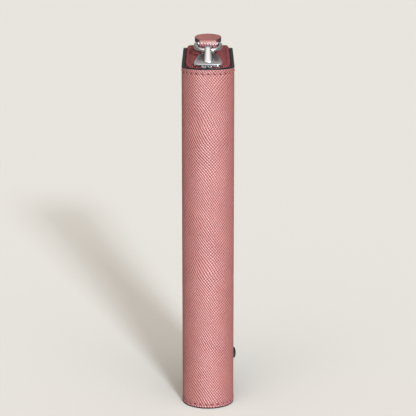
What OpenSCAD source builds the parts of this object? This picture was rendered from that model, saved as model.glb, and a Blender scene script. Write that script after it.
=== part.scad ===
// Slim upright leather case for one pen, closed by a zip over the top and down the far side.
// Origin at the middle of the base, +Z up, rounded spine towards -Y, front face towards +X.

/* [Case] */
// Height of the spine's top edge
case_h = 160; // [120:1:190]
// Depth from the spine's front to the far edges of the walls
case_d = 42; // [39:0.5:56]
// Thickness across the two walls at the spine
case_w = 24; // [23:0.5:27]
// Lean of each wall towards the far side, in degrees
wall_lean = 1.5; // [0:0.1:2]
// Slope of the walls' top edges behind the spine, in degrees
rim_slope = 14; // [11:0.5:16]
// Start of that slope behind the spine's front
rim_slope_start = 11.5; // [9:0.5:14]
// Radius that eases the top edge from level into the slope
rim_ease_r = 25; // [5:1:30]
// Radius of the walls' far top corners
corner_r = 8; // [6:0.5:10]

/* [Layers] */
// Thickness of the leather of the wrap and the base
leather_t = 0.9; // [0.6:0.1:1.2]
// Thickness of the stiffening boards
board_t = 0.5; // [0.3:0.1:0.8]
// Thickness of the lining
lining_t = 0.3; // [0.2:0.1:0.5]
// Height of the paint on the cut edges
paint_t = 0.5; // [0.3:0.1:0.8]
// Height of the base's turned-up flange
flange_h = 6; // [4:0.5:10]

/* [Zip] */
// Slope of the zip across the top, in degrees
zip_tilt = 12; // [9:0.5:14]
// How far the tape stands out of the walls' far edges
zip_proud = 1.2; // [0.8:0.1:2]
// Radius of the zip's corner at the middle of the tape
zip_r = 9; // [7:0.5:11]
// Thickness of the zip tape
tape_t = 0.6; // [0.4:0.1:0.8]
// Outer radius of the tape's shoulders
shoulder_r = 1.4; // [1:0.1:2]
// Depth of the tape's sewn leg inside each wall
leg_h = 8; // [5:0.5:12]
// Width of the closed chain
chain_w = 6; // [5:0.25:6.5]
// Pitch of the teeth along one row
tooth_pitch = 2.6; // [2.4:0.1:3.2]
// Length of one tooth along the chain
tooth_l = 1.2; // [0.9:0.05:1.2]
// Height of one tooth through the tape
tooth_h = 2.3; // [2:0.1:2.6]
// How far each tooth's head reaches past the middle
tooth_reach = 0.55; // [0.3:0.05:0.7]
// Thickness of the bead along the tape's inner edge
bead_t = 1; // [0.8:0.05:1.1]
// Length of the metal stop at the zip's lower end
end_stop_l = 3; // [2:0.25:5]

/* [Slider] */
// Length of the slider's plates
plate_l = 12.6; // [12:0.2:14]
// Width of the plates at the mouth
plate_w = 12.8; // [12.6:0.1:13]
// Width of the plates at the narrow end
plate_tail_w = 8.4; // [8:0.1:9]
// Thickness of the plates
plate_t = 1.1; // [0.8:0.1:1.3]
// Distance from the zip's near end to the slider's mouth
slider_rest = 1.2; // [1.1:0.1:1.6]
// Width of the crown that holds the pull ring
crown_w = 3.3; // [2.5:0.1:4]
// Distance of the crown's eye from the slider's mouth
crown_reach = 9; // [8.4:0.1:9.6]
// Height of the crown's eye above the middle of the tape
crown_h = 5.5; // [5.2:0.1:6.5]
// Thickness of the crown
crown_t = 1.07; // [0.8:0.01:1.3]

/* [Pull] */
// Diameter of the ring's wire
wire_d = 1.9; // [1.4:0.1:2]
// Width of the ring outside
ring_w = 12.9; // [12:0.1:14]
// Length of the ring between its two bars' middles
ring_l = 6.4; // [6:0.1:9]
// Radius of the ring's near corners at the wire's middle
ring_bend_r = 4; // [3:0.1:4.2]
// Radius of the ring's far corners at the wire's middle
ring_corner_r = 1.2; // [1.1:0.1:1.8]
// Angle of the ring above level, in degrees
ring_angle = 19; // [10:1:40]
// Angle of the leather pull above level, in degrees
strap_angle = 7.4; // [4:0.2:12]
// Width of the pull's neck
neck_w = 7.8; // [6:0.1:8.2]
// Width of the pull at its round end
strap_w = 12.2; // [10:0.1:14]
// Distance from the ring's bar to the middle of the round end
strap_l = 9.5; // [8:0.5:20]
// Thickness of the pull's leather
strap_t = 0.9; // [0.7:0.1:1.1]
// Thickness of the filler between the pull's two layers
filler_t = 0.3; // [0.2:0.1:0.5]

/* [Stud] */
// Diameter of the stud on the front
stud_d = 6.1; // [4:0.1:9]
// How far the stud stands out
stud_h = 1.6; // [1:0.1:2.5]
// Height of the stud's middle above the base
stud_z = 20.9; // [15:0.1:60]
// Distance of the stud behind the middle of the case
stud_y = 0; // [-4:0.5:12]
// Diameter of the stud's shank
shank_d = 1.6; // [1:0.1:2.5]
// Diameter of the washer behind the stud
washer_d = 5; // [4:0.1:7]
// Thickness of the washer
washer_t = 0.4; // [0.3:0.1:0.8]

/* [Clearances] */
// Gap between a moving metal piece and what it slides over
slide_gap = 0.2; // [0.15:0.05:0.25]
// Gap between the teeth and the walls of the slider's channel
channel_gap = 0.35; // [0.32:0.01:0.4]
// Radial play of the ring's wire in the crown and in the leather
hinge_gap = 0.08; // [0.04:0.01:0.1]
// Gap round the stud's shank
shank_gap = 0.05; // [0.02:0.01:0.1]
// Gap between the tape's turned-down end and the spine's lining
seat_gap = 0.05; // [0.02:0.01:0.1]
// Depth of the recess of the base above the walls' lower edges
base_recess = 0.5; // [0.2:0.1:0.8]

/* [Hidden] */
$fn = 64;

leather_color = [0.82, 0.48, 0.47];
tape_color = [0.62, 0.24, 0.24];
edge_color = [0.07, 0.06, 0.07];
metal_color = [0.78, 0.78, 0.80];
lining_color = [0.55, 0.25, 0.27];
board_color = [0.72, 0.66, 0.56];

far_y = case_d / 2;
spine_r = case_w / 2;
spine_y = spine_r - far_y;
wall_t = leather_t + board_t + lining_t;
inner_r = spine_r - wall_t;
// Straight sides start this far inside the arcs that they leave, so that the two cross
tangent_in = 0.01;
wall_in = inner_r - tangent_in;
cut_far = case_d;
tall = case_h + case_d;

slope_y = rim_slope_start - far_y;
ease_l = rim_ease_r * tan(rim_slope / 2);
corner_top = case_h + tan(rim_slope) * (far_y - slope_y);
corner_y = far_y - corner_r;
corner_z = corner_top - corner_r / tan((90 - rim_slope) / 2);

zip_y0 = wall_t - far_y;
zip_drop = 0.1;
zip_z0 = case_h - zip_drop - tape_t / 2;
zip_far = far_y + zip_proud - tape_t / 2;
zip_cut = zip_r / tan((90 - zip_tilt) / 2);
zip_top_l = (zip_far - zip_y0) / cos(zip_tilt) - zip_cut;
zip_cy = zip_far - zip_r;
zip_cz = zip_z0 + tan(zip_tilt) * (zip_far - zip_y0) - zip_cut;
zip_turn = 90 + zip_tilt;
zip_arc_l = zip_r * zip_turn * PI / 180;
zip_end_z = flange_h;
zip_side_l = zip_cz - zip_end_z;
zip_near_l = 1;
zip_wall_l = (spine_y - zip_y0) / cos(zip_tilt) - 1;
web_in = 4.6;
// Half width of the tape's end inside the spine, which stays clear of the slider
spine_leg_w = 3.4;
row_w = chain_w / 2;
row_open = 2.25;
row_open_l = 2.8;
row_close_l = 6.7;
bead_in = 1;
// Play of each tooth's slot round the tape and its bead
clamp_gap = 0.05;
tooth_bevel = 0.4;
stop_room = 3;
teeth_end_l = zip_top_l + zip_arc_l + zip_side_l - end_stop_l - stop_room;
tooth_first = slider_rest + 1.5;
// Place of the beads' near ends, just behind the slider's mouth
bead_start = slider_rest + 0.3;
tooth_n = floor((teeth_end_l - tooth_first) / tooth_pitch);
half_pitch = tooth_pitch / 2;

mouth_n = tooth_h / 2 + slide_gap;
slot_n = tape_t / 2 + slide_gap;
plate_top_n = mouth_n + plate_t;
nose_r = 1.5;
nose_bulge = 0.4;
nose_x = plate_w / 2 - nose_r;
nose_arc_r = (nose_x * nose_x + nose_bulge * nose_bulge) / (2 * nose_bulge);
eye_r = wire_d / 2 + hinge_gap;
crown_r = eye_r + crown_t;
crown_foot = 1.4;

ring_half = (ring_w - wire_d) / 2;
base_far = far_y - paint_t;
tray_t = leather_t;
board_base_t = 0.8;
fold_in_r = wire_d / 2 + hinge_gap;
fold_out_r = fold_in_r + strap_t;
strap_half_t = strap_t + filler_t / 2;
flare_start = 1.8;
fold_run = 4.2;
filler_start = 2.6;
filler_inset = 0.4;
stop_shift = -0.6;
// Distance of the top stops behind the zip's near end, clear of the painted edge
stop_near = 0.1;
stop_lift = 0.1;

// Points of an arc from angle a0 to a1
function arc(cx, cy, r, a0, a1, n) = [for (i = [0:n]) let (a = a0 + (a1 - a0) * i / n) [cx + r * cos(a), cy + r * sin(a)]];

// How far each row of teeth is spread at distance s from the slider's mouth
function spread(s) =
    s < row_open_l ? row_open :
    s > row_open_l + row_close_l ? 0 :
    row_open * (1 + cos(180 * (s - row_open_l) / row_close_l)) / 2;

// Outline of the case from above, drawn in by inset, from the spine to far
module plan(inset, far) {
    r = spine_r - inset;
    side = far - spine_y;
    tx = r * cos(wall_lean) - tangent_in;
    ty = r * sin(wall_lean);
    fx = tx - (side - ty) * tan(wall_lean);
    translate([0, spine_y]) {
        circle(r);
        polygon([[-tx, ty], [tx, ty], [fx, side], [-fx, side]]);
    }
}

// Turns an outline in Y and Z into a solid across X
module across(width) {
    rotate([90, 0, 90]) translate([0, 0, -width / 2]) linear_extrude(width) children();
}

// Side view of the walls, drawn in by inset
module side_outline(inset) {
    rc = corner_r - inset;
    re = rim_ease_r + inset;
    ease_y = slope_y - ease_l;
    ease_z = case_h + rim_ease_r;
    difference() {
        union() {
            polygon([
                [-case_d, 0],
                [far_y - inset, 0],
                [far_y - inset, corner_z],
                [corner_y - rc * sin(rim_slope), corner_z + rc * cos(rim_slope)],
                [ease_y + re * sin(rim_slope), ease_z - re * cos(rim_slope)],
                [ease_y, ease_z - re],
                [-case_d, ease_z - re]
            ]);
            translate([corner_y, corner_z]) circle(rc);
        }
        translate([ease_y, ease_z]) circle(re);
    }
}

// One layer of the wall between two insets, without the painted edges
module layer(outer, inner) {
    intersection() {
        difference() {
            translate([0, 0, paint_t]) linear_extrude(tall) plan(outer, cut_far);
            linear_extrude(tall * 2) plan(inner, cut_far + 1);
        }
        across(case_w * 2) side_outline(paint_t);
    }
}

module stud_hole(d) {
    on_front() translate([0, 0, -wall_t - 1]) cylinder(h = wall_t + 2, d = d);
}

// Places its children on the front face, with Z pointing out
module on_front() {
    translate([0, spine_y, 0])
        rotate([0, 0, wall_lean])
            translate([spine_r - tangent_in, stud_y - spine_y, stud_z])
                rotate([0, 90, 0]) children();
}

module outer_leather() {
    color(leather_color) difference() {
        layer(0, leather_t);
        stud_hole(shank_d + 2 * shank_gap);
    }
}

module wall_board(side) {
    color(board_color) intersection() {
        layer(leather_t, leather_t + board_t);
        translate([side > 0 ? 0 : -case_w, spine_y, 0]) cube([case_w, case_d, tall]);
    }
}

module front_board() {
    difference() {
        wall_board(1);
        stud_hole(shank_d + 2 * shank_gap);
    }
}

module back_board() {
    wall_board(-1);
}

module spine_stiffener() {
    color(board_color) intersection() {
        layer(leather_t, leather_t + board_t);
        translate([-case_w, spine_y - case_w, 0]) cube([case_w * 2, case_w, tall]);
    }
}

module lining() {
    color(lining_color) difference() {
        layer(leather_t + board_t, wall_t);
        stud_hole(shank_d + 2 * shank_gap);
    }
}

module mouth_edge_paint() {
    color(edge_color) intersection() {
        difference() {
            translate([0, 0, paint_t]) linear_extrude(tall) plan(0, cut_far);
            linear_extrude(tall * 2) plan(wall_t, cut_far + 1);
        }
        difference() {
            across(case_w * 2) side_outline(0);
            across(case_w * 3) side_outline(paint_t);
        }
    }
}

module base_edge_paint() {
    color(edge_color) difference() {
        linear_extrude(paint_t) plan(0, far_y);
        translate([0, 0, -1]) linear_extrude(paint_t + 2) plan(wall_t, far_y + 1);
    }
}

module base_panel() {
    color(leather_color) difference() {
        translate([0, 0, base_recess]) linear_extrude(flange_h - base_recess) plan(wall_t, base_far);
        translate([0, 0, base_recess + tray_t])
            linear_extrude(flange_h) plan(wall_t + tray_t, base_far - tray_t);
    }
}

module base_board() {
    color(board_color) translate([0, 0, base_recess + tray_t])
        linear_extrude(board_base_t) plan(wall_t + tray_t, base_far - tray_t);
}

module base_lining() {
    color(lining_color) translate([0, 0, base_recess + tray_t + board_base_t])
        linear_extrude(lining_t) plan(wall_t + tray_t, base_far - tray_t);
}

// Frame of the zip: Y runs up the slope from the spine, Z stands off the tape
module on_zip() {
    translate([0, zip_y0, zip_z0]) rotate([zip_tilt, 0, 0]) children();
}

// Places its children at a distance along the whole zip, from the spine to the base
module along_zip(t) {
    turned = (t - zip_top_l) / zip_arc_l * zip_turn;
    if (t <= zip_top_l)
        on_zip() translate([0, t, 0]) children();
    else if (turned < zip_turn)
        translate([0, zip_cy, zip_cz]) rotate([zip_tilt - turned, 0, 0]) translate([0, 0, zip_r]) children();
    else
        translate([0, zip_far, zip_cz - (t - zip_top_l - zip_arc_l)]) rotate([-90, 0, 0]) children();
}

// Sweeps an outline in X and Z along the zip's slope from one distance to another
module sweep_top(from, to) {
    on_zip() translate([0, to, 0]) rotate([90, 0, 0]) linear_extrude(to - from) children();
}

module sweep_corner() {
    translate([0, zip_cy, zip_cz])
        rotate([90, 0, 90])
            rotate_extrude(angle = zip_turn)
                translate([zip_r, 0]) mirror([1, -1]) children();
}

module sweep_side() {
    translate([0, zip_far, zip_end_z]) linear_extrude(zip_side_l) children();
}

// Turns its children to stand along the right wall
module along_wall() {
    translate([0, spine_y, 0]) rotate([0, 0, wall_lean]) translate([0, -spine_y, 0]) children();
}

// Cross-section of the right half of the tape: web, round shoulder and sewn leg
module tape_section() {
    top = tape_t / 2;
    cx = wall_in - shoulder_r;
    cz = top - shoulder_r;
    polygon(concat(
        [[0, -top], [0, top]],
        arc(cx, cz, shoulder_r, 90, 0, 6),
        [[wall_in, top - leg_h], [wall_in - tape_t, top - leg_h]],
        arc(cx, cz, shoulder_r - tape_t, 0, 90, 6)
    ));
}

module tape_half() {
    color(tape_color) {
        intersection() {
            along_wall() {
                sweep_top(zip_wall_l, zip_top_l) tape_section();
                sweep_corner() tape_section();
                sweep_side() tape_section();
            }
            translate([web_in, spine_y, 0]) cube([case_w, case_d * 2, tall]);
        }
        intersection() {
            translate([0, spine_y, 0]) cylinder(h = tall, r = inner_r - seat_gap);
            translate([0, -case_d, 0]) cube([case_w, case_d + spine_y + seat_gap, tall]);
            on_zip() {
                translate([web_in, -inner_r, -tape_t / 2]) cube([inner_r, case_d, tape_t]);
                translate([channel_gap, -zip_near_l, -tape_t / 2])
                    cube([inner_r - channel_gap, zip_near_l + bead_start - seat_gap, tape_t]);
            }
        }
        spine_leg();
    }
}

// The tape's end, turned down inside the spine
module spine_leg() {
    r = inner_r - seat_gap;
    difference() {
        translate([0, spine_y, case_h - leg_h]) cylinder(h = leg_h + inner_r, r = r);
        translate([0, spine_y, 0]) cylinder(h = tall, r = r - tape_t);
        translate([-case_w, spine_y + seat_gap, 0]) cube([case_w * 2, case_d, tall]);
        translate([channel_gap - case_w, -case_d, 0]) cube([case_w, case_d * 2, tall]);
        translate([spine_leg_w, -case_d, 0]) cube([case_w, case_d * 2, tall]);
        on_zip() translate([-case_w, -case_d, 0]) cube([case_w * 2, case_d * 2, case_w]);
    }
}

module zip_tape_right() {
    tape_half();
}

module zip_tape_left() {
    mirror([1, 0, 0]) tape_half();
}

// Place along the zip of tooth i; side is 1 on the right and -1 on the left, half a pitch further on
function tooth_at(i, side) = tooth_first + i * tooth_pitch + (side > 0 ? 0 : half_pitch);

// Inner strip of the tape with its bead, spread where the slider parts the rows.
// It runs straight through each tooth and bends between them.
module bead_top(side) {
    bent_n = ceil((row_open_l + row_close_l) / tooth_pitch);
    hold = tooth_l / 2 + clamp_gap;
    held = [for (i = [0:bent_n]) let (t = tooth_at(i, side)) each [for (e = [-hold, hold]) [spread(t - slider_rest), t + e]]];
    edge = concat([[row_open, bead_start]], held, [[0, zip_top_l]]);
    inner = [for (p = edge) [p[0] + bead_in, p[1]]];
    outer = [for (i = [len(edge) - 1:-1:0]) [edge[i][0] + bead_in + bead_t, edge[i][1]]];
    color(tape_color) on_zip() {
        translate([0, 0, -bead_t / 2]) linear_extrude(bead_t) polygon(concat(inner, outer));
        translate([0, 0, -tape_t / 2])
            linear_extrude(tape_t)
                polygon(concat([for (p = edge) [p[0] + bead_in + bead_t / 2, p[1]]],
                    [[web_in, zip_top_l], [web_in, bead_start]]));
    }
}

module bead_section() {
    translate([bead_in, -bead_t / 2]) square(bead_t);
    translate([bead_in, -tape_t / 2]) square([web_in - bead_in, tape_t]);
}

module bead_side() {
    color(tape_color) {
        sweep_corner() bead_section();
        sweep_side() bead_section();
    }
}

module zip_bead_top_right() {
    bead_top(1);
}

module zip_bead_top_left() {
    mirror([1, 0, 0]) bead_top(-1);
}

module zip_bead_side_right() {
    bead_side();
}

module zip_bead_side_left() {
    mirror([1, 0, 0]) bead_side();
}

// One tooth of the right row: two legs that clamp the bead, and a head past the middle
module tooth() {
    n = tooth_h / 2;
    nose = n * 0.6;
    bead = bead_t / 2 + clamp_gap;
    slot = tape_t / 2 + clamp_gap;
    near = bead_in - clamp_gap;
    far = bead_in + bead_t + clamp_gap;
    edge = row_w - tooth_bevel;
    neck = 0.1;
    translate([0, tooth_l / 2, 0])
        rotate([90, 0, 0])
            linear_extrude(tooth_l)
                polygon([
                    [-tooth_reach, -nose], [neck, -n], [edge, -n], [row_w, tooth_bevel - n],
                    [row_w, -slot], [far, -slot], [far, -bead], [near, -bead], [near, bead], [far, bead],
                    [far, slot], [row_w, slot], [row_w, n - tooth_bevel], [edge, n],
                    [neck, n], [-tooth_reach, nose]
                ]);
}

// Teeth of one row; side is 1 on the right and -1 on the left, which is half a pitch further on
module teeth(side, top) {
    color(metal_color) for (i = [0:tooth_n]) {
        t = tooth_at(i, side);
        if ((t + tooth_l < zip_top_l) == top)
            along_zip(t)
                mirror([side > 0 ? 0 : 1, 0, 0])
                    translate([spread(t - slider_rest), 0, 0]) tooth();
    }
}

module zip_teeth_top_right() {
    teeth(1, true);
}

module zip_teeth_top_left() {
    teeth(-1, true);
}

module zip_teeth_side_right() {
    teeth(1, false);
}

module zip_teeth_side_left() {
    teeth(-1, false);
}

// Crimped stop on the near end of one tape, with two round lobes
module top_stop(side) {
    lobe_r = 0.45;
    stop_l = slider_rest - stop_near - channel_gap;
    gap = 1.3;
    first = side > 0 ? gap / 2 : -gap * 1.5;
    color(metal_color) on_zip() translate([stop_shift + first, stop_near, tape_t / 2 + stop_lift]) {
        for (i = [0, 1])
            translate([i * gap, stop_l, lobe_r]) rotate([90, 0, 0]) cylinder(h = stop_l, r = lobe_r);
        cube([gap, stop_l, lobe_r]);
    }
}

module top_stop_left() {
    top_stop(-1);
}

module top_stop_right() {
    top_stop(1);
}

module bottom_stop() {
    n = tooth_h / 2;
    color(metal_color) along_zip(teeth_end_l + stop_room) difference() {
        translate([-row_w, 0, -n]) cube([chain_w, end_stop_l, tooth_h]);
        for (side = [0, 1])
            mirror([side, 0, 0]) translate([bead_in, -1, 0]) {
                translate([0, 0, -tape_t / 2]) cube([chain_w, end_stop_l + 2, tape_t]);
                translate([0, 0, -bead_t / 2]) cube([bead_t, end_stop_l + 2, bead_t]);
            }
    }
}

// Half outline of the slider's plates, from the mouth's middle to the tail
module plate_half() {
    polygon(concat(
        [[0, plate_l]],
        [[0, 0]],
        arc(0, nose_arc_r, nose_arc_r, -90, -90 + asin(nose_x / nose_arc_r), 6),
        arc(nose_x, nose_bulge + nose_r, nose_r, -80, 10, 8),
        [[plate_tail_w / 2, plate_l - 0.5], [plate_tail_w / 2 - 0.5, plate_l]]
    ));
}

module plate_outline() {
    plate_half();
    mirror([1, 0]) plate_half();
}

// Half of the passage for the two rows of teeth
module channel_half() {
    steps = [for (i = [0:14]) row_open_l + row_close_l * i / 14];
    out = row_w + channel_gap;
    polygon(concat(
        [[0, -1], [out + row_open, -1]],
        [for (s = steps) [out + spread(s), s]],
        [[out, plate_l + 1], [0, plate_l + 1]]
    ));
}

// Wedge that parts the two rows
module wedge_outline() {
    last = row_open_l + row_close_l;
    lip = tooth_reach + channel_gap;
    steps = [for (i = [0:24]) row_open_l + row_close_l * i / 24];
    right = [for (s = steps) if (spread(s) > lip) [spread(s) - lip, s]];
    tip = right[len(right) - 1][1] + 0.2;
    wide = row_open - lip;
    polygon(concat(
        [[0, tip]], [for (i = [len(right) - 1:-1:0]) right[i]], [[wide, 1.9], [wide - 0.4, 1.3], [0.4 - wide, 1.3], [-wide, 1.9]],
        [for (p = right) [-p[0], p[1]]]
    ));
}

// Side view of the top plate, lowest at the mouth
module plate_side() {
    polygon([
        [-1, mouth_n], [0, mouth_n + 0.25], [0.8, mouth_n + 0.55], [3, plate_top_n - 0.15],
        [5.5, plate_top_n], [plate_l - 0.6, plate_top_n + 0.15], [plate_l, plate_top_n - 0.1],
        [plate_l + 1, mouth_n]
    ]);
}

module on_slider() {
    on_zip() translate([0, slider_rest, 0]) children();
}

module slider_body() {
    color(metal_color) on_slider() {
        intersection() {
            translate([0, 0, mouth_n]) linear_extrude(plate_t * 2) plate_outline();
            across(plate_w * 2) plate_side();
        }
        translate([0, 0, -mouth_n - plate_t]) linear_extrude(plate_t) plate_outline();
        for (up = [0, 1])
            mirror([0, 0, up]) translate([0, 0, slot_n]) difference() {
                linear_extrude(mouth_n - slot_n) plate_outline();
                translate([0, 0, -1]) linear_extrude(mouth_n + 2) {
                    channel_half();
                    mirror([1, 0]) channel_half();
                }
            }
        translate([0, 0, -mouth_n]) linear_extrude(mouth_n * 2) wedge_outline();
    }
}

// Side view of the crown: a long front slope, a round eye and an upright back leg
module crown_side() {
    foot_n = plate_top_n - 0.35;
    run = crown_reach - crown_foot;
    rise = crown_h - foot_n;
    slope = atan2(rise, run) + asin(crown_r / norm([run, rise]));
    nx = -sin(slope);
    ny = cos(slope);
    out_r = crown_r - tangent_in;
    in_r = eye_r - tangent_in;
    difference() {
        union() {
            translate([crown_reach, crown_h]) circle(crown_r);
            translate([crown_reach, mouth_n]) square([crown_r - tangent_in, crown_h - mouth_n]);
            polygon([
                [crown_reach + out_r * nx, crown_h + out_r * ny],
                [crown_foot, foot_n],
                [crown_foot, mouth_n],
                [crown_reach, mouth_n],
                [crown_reach, crown_h]
            ]);
        }
        translate([crown_reach, crown_h]) circle(eye_r);
        translate([crown_reach, 0]) square([in_r, crown_h]);
        polygon([
            [crown_reach + in_r * nx, crown_h + in_r * ny],
            [crown_reach + in_r * nx - crown_h * cos(slope), crown_h + in_r * ny - crown_h * sin(slope)],
            [crown_reach, 0],
            [crown_reach, crown_h]
        ]);
        plate_side();
    }
}

module slider_crown() {
    color(metal_color) on_slider() across(crown_w) crown_side();
}

// Frame of the ring: origin at the wire's middle in the crown's eye, Y towards the far bar
module on_ring() {
    on_slider() translate([0, crown_reach, crown_h]) rotate([ring_angle - zip_tilt, 0, 0]) children();
}

module wire(length) {
    rotate([0, 90, 0]) translate([0, 0, -length / 2]) cylinder(h = length, d = wire_d);
}

module wire_bend(x, y, r, from) {
    translate([x, y, 0]) rotate([0, 0, from]) rotate_extrude(angle = 90) translate([r, 0]) circle(d = wire_d);
}

module pull_ring() {
    near_x = ring_half - ring_bend_r;
    far_x = ring_half - ring_corner_r;
    arm_l = ring_l - ring_bend_r - ring_corner_r;
    color(metal_color) on_ring() {
        wire(near_x * 2);
        wire_bend(near_x, ring_bend_r, ring_bend_r, -90);
        wire_bend(-near_x, ring_bend_r, ring_bend_r, 180);
        for (side = [-1, 1])
            translate([side * ring_half, ring_bend_r + arm_l, 0]) rotate([90, 0, 0]) cylinder(h = arm_l, d = wire_d);
        wire_bend(far_x, ring_l - ring_corner_r, ring_corner_r, 0);
        wire_bend(-far_x, ring_l - ring_corner_r, ring_corner_r, 90);
        translate([0, ring_l, 0]) wire(far_x * 2);
    }
}

// Frame of the leather pull: origin at the middle of the ring's far bar
module on_strap() {
    on_ring() translate([0, ring_l, 0]) rotate([strap_angle - ring_angle, 0, 0]) children();
}

// Outline of the pull from above, drawn in by inset
module strap_outline(inset) {
    neck = neck_w / 2 - inset;
    wide = strap_w / 2 - inset;
    translate([-neck, -fold_out_r]) square([neck * 2, fold_out_r + flare_start]);
    polygon([[-neck, flare_start], [neck, flare_start], [wide, strap_l], [-wide, strap_l]]);
    translate([0, strap_l]) circle(wide);
}

// Side view of the folded leather round the ring's bar
module strap_side() {
    lean = asin((fold_out_r - strap_half_t) / fold_run);
    tip = strap_l + strap_w;
    difference() {
        polygon(concat(
            arc(0, 0, fold_out_r, 90 - lean, 270 + lean, 24),
            [[fold_run, -strap_half_t], [tip, -strap_half_t], [tip, strap_half_t], [fold_run, strap_half_t]]
        ));
        circle(fold_in_r);
        translate([0, -filler_t / 2]) square([tip * 2, filler_t]);
    }
}

module pull_strap() {
    color(leather_color) on_strap() intersection() {
        translate([0, 0, -fold_out_r]) linear_extrude(fold_out_r * 2) strap_outline(0);
        across(strap_w * 2) strap_side();
    }
}

module pull_filler() {
    color(edge_color) on_strap() translate([0, 0, -filler_t / 2]) intersection() {
        linear_extrude(filler_t) strap_outline(filler_inset);
        translate([-strap_w, filler_start, -1]) cube([strap_w * 2, strap_l + strap_w, filler_t + 2]);
    }
}

module front_stud() {
    dome_r = (stud_d * stud_d / 4 + stud_h * stud_h) / (2 * stud_h);
    color(edge_color) on_front() {
        intersection() {
            cylinder(h = stud_h, d = stud_d);
            translate([0, 0, stud_h - dome_r]) sphere(dome_r);
        }
        translate([0, 0, -wall_t - washer_t]) cylinder(h = wall_t + washer_t, d = shank_d);
    }
}

module stud_washer() {
    color(metal_color) on_front() translate([0, 0, -wall_t - washer_t]) difference() {
        cylinder(h = washer_t, d = washer_d);
        translate([0, 0, -1]) cylinder(h = washer_t + 2, d = shank_d + 2 * shank_gap);
    }
}

outer_leather();
front_board();
back_board();
spine_stiffener();
lining();
mouth_edge_paint();
base_edge_paint();
base_panel();
base_board();
base_lining();
zip_tape_left();
zip_tape_right();
zip_bead_top_left();
zip_bead_top_right();
zip_bead_side_left();
zip_bead_side_right();
zip_teeth_top_left();
zip_teeth_top_right();
zip_teeth_side_left();
zip_teeth_side_right();
top_stop_left();
top_stop_right();
bottom_stop();
slider_body();
slider_crown();
pull_ring();
pull_strap();
pull_filler();
front_stud();
stud_washer();
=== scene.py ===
import math
import bmesh
import bpy
from mathutils import Matrix, Vector
from mathutils.kdtree import KDTree


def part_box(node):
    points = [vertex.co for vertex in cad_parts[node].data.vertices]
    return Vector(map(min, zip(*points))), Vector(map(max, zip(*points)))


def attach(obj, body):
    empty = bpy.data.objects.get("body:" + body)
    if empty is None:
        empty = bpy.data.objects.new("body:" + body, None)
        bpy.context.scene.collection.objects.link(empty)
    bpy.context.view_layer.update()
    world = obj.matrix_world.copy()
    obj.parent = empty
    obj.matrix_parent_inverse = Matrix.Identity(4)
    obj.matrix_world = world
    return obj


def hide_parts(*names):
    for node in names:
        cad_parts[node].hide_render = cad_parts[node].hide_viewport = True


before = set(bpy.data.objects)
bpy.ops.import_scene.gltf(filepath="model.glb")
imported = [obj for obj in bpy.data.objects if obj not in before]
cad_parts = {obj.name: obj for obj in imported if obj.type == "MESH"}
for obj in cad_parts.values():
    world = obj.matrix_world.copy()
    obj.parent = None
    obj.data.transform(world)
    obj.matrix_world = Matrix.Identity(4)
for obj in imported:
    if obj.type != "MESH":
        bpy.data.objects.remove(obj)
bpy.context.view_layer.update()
mm = 0.001  # all sizes below are in millimetres

print("measuring the case")

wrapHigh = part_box("outer_leather")[1]
edgeLow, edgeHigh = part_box("mouth_edge_paint")

case = {
    "lean": math.radians(1.5),  # the two walls close in towards the far edges
    "slope": math.radians(14),  # the rim falls towards the spine
    "slopeStart": 11.5,  # behind the spine's front
    "height": 160,  # of the rim at the spine
    "easeRadius": 25,  # of the soft bend from the level rim into the slope
    "cornerRadius": 8,
    "wall": 1.7,  # leather, board and lining together
    "leather": 0.9,
    "paint": 0.5,  # how far the painted edges stand past the leather
}
spineR = wrapHigh.x / mm
frontY = edgeLow.y / mm
farY = edgeHigh.y / mm
spineY = frontY + spineR
bendLength = spineR * (math.pi / 2 + case["lean"])
tangentY = spineY + spineR * math.sin(case["lean"])
slopeY = frontY + case["slopeStart"]
easeY = slopeY - case["easeRadius"] * math.tan(case["slope"] / 2)
cornerY = farY - case["cornerRadius"]
cornerTop = case["height"] + math.tan(case["slope"]) * (farY - slopeY)
cornerZ = cornerTop - case["cornerRadius"] / math.tan((math.pi / 2 - case["slope"]) / 2)


def wallAt(u, depth=0.0):
    # Point and outward direction on the walls, u along the outline from the spine's front, right is positive
    side = 1 if u >= 0 else -1
    if abs(u) < bendLength:
        turn = abs(u) / spineR
        out = Vector((side * math.sin(turn), -math.cos(turn), 0))
        point = Vector((0, spineY, 0)) + out * spineR
    else:
        along = abs(u) - bendLength
        out = Vector((side * math.cos(case["lean"]), math.sin(case["lean"]), 0))
        point = Vector((0, spineY, 0)) + out * spineR
        point += Vector((-side * math.sin(case["lean"]), math.cos(case["lean"]), 0)) * along
    return point - out * depth, out


def alongTo(y):
    # u of a place at y on the right wall
    if y >= tangentY:
        return bendLength + (y - tangentY) / math.cos(case["lean"])
    return spineR * math.acos(max(-1, min(1, (spineY - y) / spineR)))


def rimAt(y, inset=0.0):
    # Height of the walls' top edge at y, drawn in by inset
    ease = case["easeRadius"] + inset
    corner = case["cornerRadius"] - inset
    cornerEdge = cornerY - corner * math.sin(case["slope"])
    if y < easeY:
        return case["height"] - inset
    if y < easeY + ease * math.sin(case["slope"]):
        return case["height"] + case["easeRadius"] - math.sqrt(ease ** 2 - (y - easeY) ** 2)
    if y < cornerEdge:
        return cornerZ + corner * math.cos(case["slope"]) + (y - cornerEdge) * math.tan(case["slope"])
    return cornerZ + math.sqrt(max(0, corner ** 2 - (y - cornerY) ** 2))


def spaced(first, last, step):
    count = max(1, round(abs(last - first) / step))
    return [first + (last - first) * i / count for i in range(count + 1)]


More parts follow.
